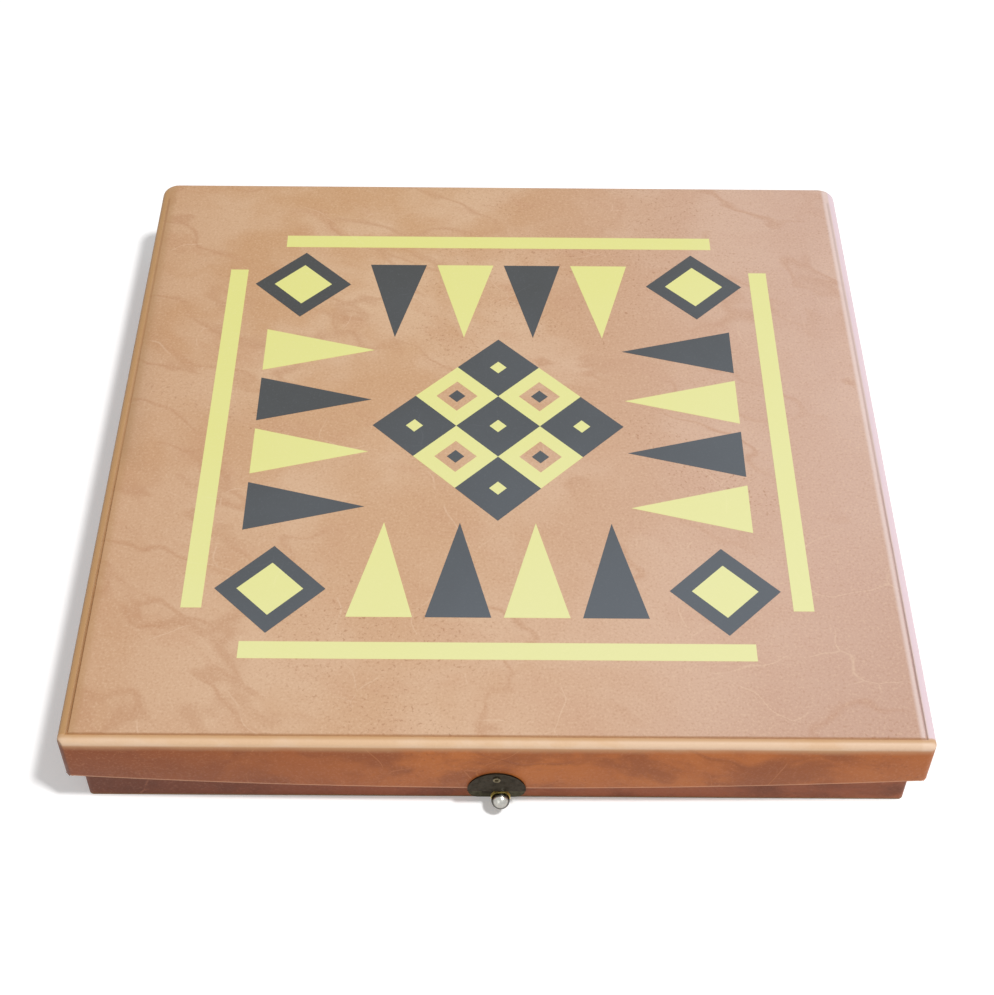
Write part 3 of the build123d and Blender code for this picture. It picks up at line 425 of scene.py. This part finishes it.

# The bead outside the pressed line is painted with light and shade: golden brown on the left, a painted
# shade; pale in front, a painted highlight; greyish pink on the right, a painted sheen. The pressed line
# itself is painted darker, a painted shade.
bead_rise = (0.0006, 0.0014)
bead_left_to_right = (-0.05, 0.05)
bead_in_front = (-0.1962, -0.1952)
line_shade_reach = (0.0002, 0.0010)
line_shade_right = (0.1925, 0.1945)
line_shade_front = (-0.1945, -0.1925)
line_end = (pressed_line_end - 0.004, pressed_line_end)
left_brink_shade = (-0.1894, -0.1946)
right_brink_highlight = (0.1920, 0.1940)
left_roll_shade = (-0.1987, -0.1999)
edge_foot_shade = (lid_top - 0.0026, lid_top - 0.0042)
groove_shade_inner = (-0.1948, -0.1956)
groove_shade_outer = (-0.1986, -0.1967)
side = node(tree, "ShaderNodeMath", {0: hide["x"]}, operation="ABSOLUTE")
forward = node(tree, "ShaderNodeMath", {0: hide["y"], 1: -1.0}, operation="MULTIPLY")
reach = node(tree, "ShaderNodeMath", {0: side, 1: forward}, operation="MAXIMUM")
offset = node(tree, "ShaderNodeMath", {0: reach, 1: pressed_line}, operation="SUBTRACT")
off_line = node(tree, "ShaderNodeMath", {0: offset}, operation="ABSOLUTE")
front_highlight_tan = layered(tree, linear("#E2C3A4"), [
    (linear("#D9AE7E"), (hide["streaks"], (0.48, 0.62), (0, 0.4))),
])
# Painted light and shade on the bead, different on each side.
bead = layered(tree, linear("#B88E5F"), [
    (linear("#E2CDD6"), (hide["x"], bead_left_to_right, (0, 1))),
    (front_highlight_tan, (hide["y"], bead_in_front, (1, 0))),
])
line_shade_tone = layered(tree, linear("#93663A"), [
    (linear("#B39A94"), (hide["x"], line_shade_right, (0, 1))),
    (linear("#A9794A"), (hide["y"], line_shade_front, (1, 0))),
])
tan = layered(tree, tan, [
    # Painted shade on the left and a painted highlight on the right, where the cloth bends down to the line.
    (linear("#B28A60"), (hide["x"], left_brink_shade, (0, 0.6))),
    (linear("#EBDAD7"), (hide["x"], right_brink_highlight, (0, 0.55))),
    (bead, (offset, bead_rise, (0, 0.8))),
    # Painted shade: dark brown where the edge rolls over on the left, and golden brown at its foot.
    (linear("#7A4A30"), (hide["x"], left_roll_shade, (0, 0.6))),
    (linear("#B27A45"), (hide["z"], edge_foot_shade, (0, 0.65))),
    # The bead's inner side in front is painted golden brown, a painted shade.
    (linear("#BC8C58"), (hide["y"], groove_shade_inner, (0, 1)), (hide["y"], groove_shade_outer, (0, 0.6))),
    # Painted shade in the pressed line, lighter on the right and in front, ending short of its ends at the
    # back.
    (line_shade_tone, (off_line, line_shade_reach, (0.42, 0.0)), (hide["y"], line_end, (1, 0))),
])

# The painted top light ends raggedly below the top's edge, and the front left corner is painted dark, a
# painted shade where it turns away from the lamp.
top_light_ragged = 0.006
top_light_reach = (lid_top - 0.0080, lid_top - 0.0018)
left_corner_shade = (-0.3969, -0.3977)
ragged = node(tree, "ShaderNodeMath", {0: hide["streaks"], 1: noise_middle}, operation="SUBTRACT")
height = node(tree, "ShaderNodeMath", {0: ragged, 1: top_light_ragged, 2: hide["z"]}, operation="MULTIPLY_ADD")
corner = node(tree, "ShaderNodeMath", {0: hide["x"], 1: hide["y"]}, operation="ADD")
coat = layered(tree, coat, [
    (tan, (height, top_light_reach, (0, 1))),
    (linear("#5E3322"), (corner, left_corner_shade, (0, 0.65))),
])
embossed(tree, hide, coat)
lid_cover.data.materials.append(tan_cloth)

# Print on the lid. Two screen inks, lemon yellow and slate grey, lie on the coat as a thin opaque film with
# a low shine. Each is painted paler from the back left to the front right, a painted sheen, and is worn
# paler on the cloth's grain and creases.
ink_relief = 0.0001
sheen_slant = 0.7
sheen_clouds = 0.2
sheen_change = (-0.16, 0.36)


def finish(material, *names):
    """Gives the CAD nodes of these names the material."""
    for name in names:
        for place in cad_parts[name].material_slots:
            place.material = material


def screen_ink(name, colour, second, worn):
    """An ink film of two tones, the second a painted sheen, over the embossed grain, worn on the raised
    parts.
    """
    made, tree = blank_material(name)
    hide = hide_pattern(tree)
    across = node(tree, "ShaderNodeMath", {0: hide["x"], 1: sheen_slant}, operation="MULTIPLY")
    across = node(tree, "ShaderNodeMath", {0: across, 1: hide["y"]}, operation="SUBTRACT")
    across = node(tree, "ShaderNodeMath", {0: hide["clouds"], 1: sheen_clouds, 2: across},
                  operation="MULTIPLY_ADD")
    film = layered(tree, linear(colour), [
        # Painted sheen: the second tone shows towards the front right.
        (linear(second), (across, sheen_change, (0, 1))),
        (linear(worn), (hide["grain"], (0.55, 0.72), (0, 0.18))),
        (linear(worn), (hide["creases"], (0, 1), (0, 0.15))),
    ])
    bump = node(tree, "ShaderNodeBump", {"Height": hide["grain"], "Strength": 0.2, "Distance": ink_relief})
    ink = node(tree, "ShaderNodeBsdfPrincipled", {"Base Color": film, "Roughness": 0.42, "IOR": 1.45,
                                                  "Normal": bump})
    node(tree, "ShaderNodeOutputMaterial", {"Surface": ink})
    return made


finish(screen_ink("lemon yellow screen ink", "#E0DE88", "#E2E1A4", "#EEE9B4"), "print_yellow")
finish(screen_ink("slate grey screen ink", "#383938", "#585E65", "#6A6E74"), "print_grey")

# Base cover. A strip of the same cloth, glued up the outside of the base from the bottom sheet, over the rim
# and 10 mm down inside. It has none of the lid's painted top light, so it's dark red-brown all over.
red_cloth, tree = blank_material("red-brown leathercloth")
hide = hide_pattern(tree)
embossed(tree, hide, coat_with_left_shade(tree, hide, "#9A5538", "#A55E3C", "#643420", "#AD6C4C"))
finish(red_cloth, "base_cover")

# Frames. Four rails of planed lime wood in the lid and four in the base, glued at the mitres, with
# lime slats that carry the board. The wood is bare: pale, matt and faintly straight-grained. Its
# fibres are drawn at 0.5 mm, several times coarser than real ones, so that they show.
fibre_size = 0.5
fibre_depth = 0.0001
plank_size = 80
scale_along_grain = 0.06


def wood(name, pale, dark, along, ring=2.2, gloss=0.5):
    """Straight-grained wood, with rings so many mm apart and the grain along x, y or z."""
    made, tree = blank_material(name)
    place = node(tree, "ShaderNodeTexCoord", output="Object")
    stretch = [scale_along_grain if axis == along else 1.0 for axis in "xyz"]
    drawn = node(tree, "ShaderNodeMapping", {"Vector": place, "Scale": stretch})
    rings = node(tree, "ShaderNodeTexNoise", {"Vector": drawn, "Scale": metre / ring, "Detail": 4.0,
                                              "Roughness": 0.6})
    fibres = node(tree, "ShaderNodeTexNoise", {"Vector": drawn, "Scale": metre / fibre_size, "Detail": 2.0})
    broad = node(tree, "ShaderNodeTexNoise", {"Vector": place, "Scale": metre / plank_size, "Detail": 2.0})
    colour = layered(tree, linear(pale), [
        (linear(dark), (rings, (0.38, 0.64), (0, 1))),
        (linear(dark), (broad, (0.35, 0.65), (0, 0.3))),
    ])
    colour = layered(tree, colour, [(linear(dark), (fibres, (0.55, 0.75), (0, 0.35)))], "MULTIPLY")
    bump = node(tree, "ShaderNodeBump", {"Height": fibres, "Strength": 0.25, "Distance": fibre_depth})
    body = node(tree, "ShaderNodeBsdfPrincipled", {"Base Color": colour, "Roughness": gloss, "IOR": 1.5,
                                                   "Normal": bump})
    node(tree, "ShaderNodeOutputMaterial", {"Surface": body})
    return made


lime_x = wood("lime wood, grain along x", "#D9BC8E", "#C29E6B", "x", gloss=0.62)
lime_y = wood("lime wood, grain along y", "#D9BC8E", "#C29E6B", "y", gloss=0.62)
finish(lime_x, "lid_front_rail", "lid_back_rail", "base_front_rail", "base_back_rail")
finish(lime_y, "lid_left_rail", "lid_right_rail", "base_left_rail", "base_right_rail", "board_support_slats")

# Panels. The lid's top and the base's floor are hardboard, hot-pressed from wood fibre and let in
# between the rails: brown and dull, with darker fibres. The sheet glued under the base is thin board
# faced with brown paper, which is softer in tone and quite matt.
blot_size = 60
pulp_depth = 0.00015


def pressed_board(name, colour, fleck, fleck_size, gloss):
    """Board of pressed fibre with darker flecks, of a size in mm, and broad stains."""
    made, tree = blank_material(name)
    place = node(tree, "ShaderNodeTexCoord", output="Object")
    pulp = node(tree, "ShaderNodeTexNoise", {"Vector": place, "Scale": metre / fleck_size, "Detail": 5.0,
                                             "Roughness": 0.7})
    broad = node(tree, "ShaderNodeTexNoise", {"Vector": place, "Scale": metre / blot_size, "Detail": 2.0})
    tone = layered(tree, linear(colour), [
        (linear(fleck), (pulp, (0.42, 0.68), (0, 1))),
        (linear(fleck), (broad, (0.35, 0.65), (0, 0.25))),
    ])
    bump = node(tree, "ShaderNodeBump", {"Height": pulp, "Strength": 0.3, "Distance": pulp_depth})
    body = node(tree, "ShaderNodeBsdfPrincipled", {"Base Color": tone, "Roughness": gloss, "Normal": bump})
    node(tree, "ShaderNodeOutputMaterial", {"Surface": body})
    return made


finish(pressed_board("hardboard", "#8A6238", "#6E4A28", 1.6, 0.65), "lid_top_panel", "base_floor_panel")
finish(pressed_board("brown paper board", "#8C6A48", "#7A5A3C", 2.5, 0.8), "base_bottom_sheet")

# Linings. Green wool felt glued in the lid, on the walls and on the floor. Its matted fibres scatter
# the light, so it's dull, with a pale sheen at a low angle. Tufts of 1.2 mm are drawn, since the
# fibres are far too fine to show.
tuft_size = 1.2
tuft_depth = 0.0003
worn_size = 70
felt, tree = blank_material("green wool felt")
place = node(tree, "ShaderNodeTexCoord", output="Object")
matting = node(tree, "ShaderNodeTexNoise", {"Vector": place, "Scale": metre / tuft_size, "Detail": 5.0,
                                            "Roughness": 0.75})
worn = node(tree, "ShaderNodeTexNoise", {"Vector": place, "Scale": metre / worn_size, "Detail": 3.0})
nap = layered(tree, linear("#24502F"), [
    (linear("#3B6E45"), (matting, (0.35, 0.68), (0, 1))),
    (linear("#4A7A4F"), (worn, (0.40, 0.66), (0, 0.3))),
])
bump = node(tree, "ShaderNodeBump", {"Height": matting, "Strength": 0.6, "Distance": tuft_depth})
wool = node(tree, "ShaderNodeBsdfPrincipled", {"Base Color": nap, "Roughness": 0.95, "Sheen Weight": 0.35,
                                               "Sheen Roughness": 0.5, "Normal": bump})
node(tree, "ShaderNodeOutputMaterial", {"Surface": wool})
finish(felt, "lid_lining", "base_wall_lining", "base_floor_felt")

# Playing board. Squares of sycamore and mahogany veneer glued on a board of stained beech, with an
# ebonised border. Each is cut from another place, so their tones differ, and lacquer gives them a
# soft gloss. The pores are drawn at 0.45 mm, coarser than real ones, so that they show.
square = (0.032, 0.032, 1.0)
leaf_scale_along_grain = 0.08
leaf_ring = 2.4
pore_size = 0.45
pore_depth = 0.0001


def veneer(name, pale, dark, spread):
    """Square leaves of veneer with the grain front to back, whose tones differ by the spread."""
    made, tree = blank_material(name)
    place = node(tree, "ShaderNodeTexCoord", output="Object")
    leaf = node(tree, "ShaderNodeVectorMath", {0: place, 1: square}, operation="DIVIDE")
    leaf = node(tree, "ShaderNodeVectorMath", {0: leaf}, operation="FLOOR")
    lot = node(tree, "ShaderNodeTexWhiteNoise", {"Vector": leaf}, noise_dimensions="3D").node.outputs
    moved = node(tree, "ShaderNodeVectorMath", {0: place, 1: lot["Color"]}, operation="ADD")
    drawn = node(tree, "ShaderNodeMapping", {"Vector": moved, "Scale": (1.0, leaf_scale_along_grain, 1.0)})
    rings = node(tree, "ShaderNodeTexNoise", {"Vector": drawn, "Scale": metre / leaf_ring, "Detail": 5.0,
                                              "Roughness": 0.6})
    pores = node(tree, "ShaderNodeTexNoise", {"Vector": drawn, "Scale": metre / pore_size, "Detail": 2.0})
    colour = layered(tree, linear(pale), [
        (linear(dark), (rings, (0.38, 0.64), (0, 1))),
        (linear(dark), (lot["Value"], (0, 1), (0, spread))),
    ])
    colour = layered(tree, colour, [(linear(dark), (pores, (0.58, 0.74), (0, 0.5)))], "MULTIPLY")
    bump = node(tree, "ShaderNodeBump", {"Height": pores, "Strength": 0.12, "Distance": pore_depth})
    body = node(tree, "ShaderNodeBsdfPrincipled", {"Base Color": colour, "Roughness": 0.32, "IOR": 1.5,
                                                   "Coat Weight": 0.25, "Coat Roughness": 0.2,
                                                   "Normal": bump})
    node(tree, "ShaderNodeOutputMaterial", {"Surface": body})
    return made


finish(veneer("sycamore veneer, lacquered", "#E3CB9C", "#C9A874", 0.5), "light_squares")
finish(veneer("mahogany veneer, lacquered", "#6E3B22", "#3F1F14", 0.6), "dark_squares")
finish(wood("ebonised edging", "#2E211B", "#1D1512", "x", ring=1.5, gloss=0.4), "board_edging")
stained_x = wood("stained beech, grain along x", "#8A5433", "#693B23", "x", ring=1.8, gloss=0.42)
finish(stained_x, "playing_board")

# Dividers and racks. Thin boards of the same stained beech, waxed to a low shine, part off the trays
# and carry the board. Ribs with round cradles hold the men, and racks with round wells hold the
# draughts. All stand on the floor felt, glued in.
stained_y = wood("stained beech, grain along y", "#8A5433", "#693B23", "y", ring=1.8, gloss=0.42)
finish(stained_x, "short_tray_dividers", "front_draughts_rack", "back_draughts_rack")
finish(stained_y, "long_tray_dividers", "left_men_rack", "right_men_rack")

# Chessmen and draughts. Injection-moulded polystyrene in ivory and black, loose in their racks, with
# the soft shine and faint cloudiness of cheap plastic. Dimples of 0.9 mm are drawn, since the real
# ones are too fine to show.
flow_size = 14
dimple_size = 0.9
dimple_depth = 0.0001


def plastic(name, colour, second, gloss):
    """Moulded plastic, cloudy where it flowed into the mould, with a soft shine that varies a little."""
    made, tree = blank_material(name)
    place = node(tree, "ShaderNodeTexCoord", output="Object")
    flow = node(tree, "ShaderNodeTexNoise", {"Vector": place, "Scale": metre / flow_size, "Detail": 3.0})
    fine = node(tree, "ShaderNodeTexNoise", {"Vector": place, "Scale": metre / dimple_size, "Detail": 2.0})
    tone = layered(tree, linear(colour), [(linear(second), (flow, (0.35, 0.65), (0, 1)))])
    rough = node(tree, "ShaderNodeMapRange", {"Value": fine, "From Min": 0.3, "From Max": 0.7,
                                              "To Min": gloss, "To Max": gloss + 0.1},
                 interpolation_type="SMOOTHSTEP")
    bump = node(tree, "ShaderNodeBump", {"Height": fine, "Strength": 0.05, "Distance": dimple_depth})
    body = node(tree, "ShaderNodeBsdfPrincipled", {"Base Color": tone, "Roughness": rough, "IOR": 1.49,
                                                   "Normal": bump})
    node(tree, "ShaderNodeOutputMaterial", {"Surface": body})
    return made


ivory = plastic("ivory polystyrene", "#E6D9B8", "#D9C79D", 0.3)
black = plastic("black polystyrene", "#241C19", "#332823", 0.28)
for kind in ("rooks", "knights", "bishops", "queen", "king", "pawns", "draughts"):
    finish(ivory, "light_" + kind)
    finish(black, "dark_" + kind)

# Hinges. Leaves and pins of mild steel, rolled and nickel plated, with screws in the base and rivets
# in the lid to match, and the catch's slider of the same. The plating has dulled, so its shine is
# blotchy. Fine scratches are drawn at 0.35 mm, coarser than real ones, so that they show.
scratch_size = 0.35
scratch_depth = 0.00005


def metal(name, colour, stain, gloss, stain_size=6.0, stain_share=0.6):
    """Plated or bare metal with a blotchy tarnish, of a size in mm, duller than the clean surface."""
    made, tree = blank_material(name)
    place = node(tree, "ShaderNodeTexCoord", output="Object")
    blotch = node(tree, "ShaderNodeTexNoise", {"Vector": place, "Scale": metre / stain_size, "Detail": 5.0,
                                               "Roughness": 0.65})
    fine = node(tree, "ShaderNodeTexNoise", {"Vector": place, "Scale": metre / scratch_size, "Detail": 2.0})
    colour = layered(tree, linear(colour), [(linear(stain), (blotch, (0.42, 0.66), (0, stain_share)))])
    rough = node(tree, "ShaderNodeMapRange", {"Value": blotch, "From Min": 0.4, "From Max": 0.66,
                                              "To Min": gloss, "To Max": gloss + 0.22},
                 interpolation_type="SMOOTHSTEP")
    bump = node(tree, "ShaderNodeBump", {"Height": fine, "Strength": 0.08, "Distance": scratch_depth})
    body = node(tree, "ShaderNodeBsdfPrincipled", {"Base Color": colour, "Roughness": rough, "Metallic": 1.0,
                                                   "Normal": bump})
    node(tree, "ShaderNodeOutputMaterial", {"Surface": body})
    return made


nickelled = metal("nickel plated steel", "#C7C3B8", "#8E887C", 0.3)
for side in ("left", "right"):
    finish(nickelled, f"{side}_hinge_base_leaf", f"{side}_hinge_lid_leaf", f"{side}_hinge_pin")
finish(nickelled, "hinge_base_screws", "hinge_lid_rivets", "latch_slider")

# Catch. A half-round plate of sheet brass riveted to the lid, gone dark, whose tongue hooks round the knob's
# neck in front of a second plate on the base, tarnished and darkened further with painted shade. The knob is
# a nickel-plated ball in a cup of turned brass; its rim, as seen from in front and above, is painted dark, a
# painted reflection, so only its middle is bright.
ball_centre = (0.0019, -0.2018, 0.0095)
ball_radius = 0.0044
bright_middle_way = (0.0, -0.66, 0.75)
dark_rim_reach = (0.52 * ball_radius, 0.72 * ball_radius)
finish(metal("darkened sheet brass", "#352E22", "#28231A", 0.38, stain_size=3.0), "catch_hasp")
# The base's plate is tarnished, and painted darker still, a painted shade under the lid's lip.
finish(metal("tarnished sheet brass, darkened with painted shade", "#4A4634", "#363226", 0.40, stain_size=3.0), "catch_plate")
rivet_brass = metal("darkened brass rivet", "#746A52", "#453D2E", 0.3, stain_size=2.0)
finish(rivet_brass, "catch_hasp_rivet", "catch_plate_rivets")
finish(metal("turned brass", "#EBD47C", "#B39A4E", 0.38, stain_size=2.5), "latch_cup")
knob_nickel = metal("nickel plated ball", "#BDBCB5", "#8F8E89", 0.18, stain_size=3.0, stain_share=0.35)
tree = knob_nickel.node_tree
body = next(n for n in tree.nodes if n.type == "BSDF_PRINCIPLED")
silver = body.inputs["Base Color"].links[0].from_socket
# Painted reflection: the ball is darkened towards its rim as seen from in front and above.
place = node(tree, "ShaderNodeTexCoord", output="Object")
outward = node(tree, "ShaderNodeVectorMath", {0: place, 1: ball_centre}, operation="SUBTRACT")
facing = node(tree, "ShaderNodeVectorMath", {0: outward, 1: bright_middle_way}, output="Value",
              operation="DOT_PRODUCT")
dark_rim = layered(tree, silver, [(linear("#3A372F"), (facing, dark_rim_reach, (1, 0)))])
tree.links.new(dark_rim, body.inputs["Base Color"])
finish(knob_nickel, "latch_knob")
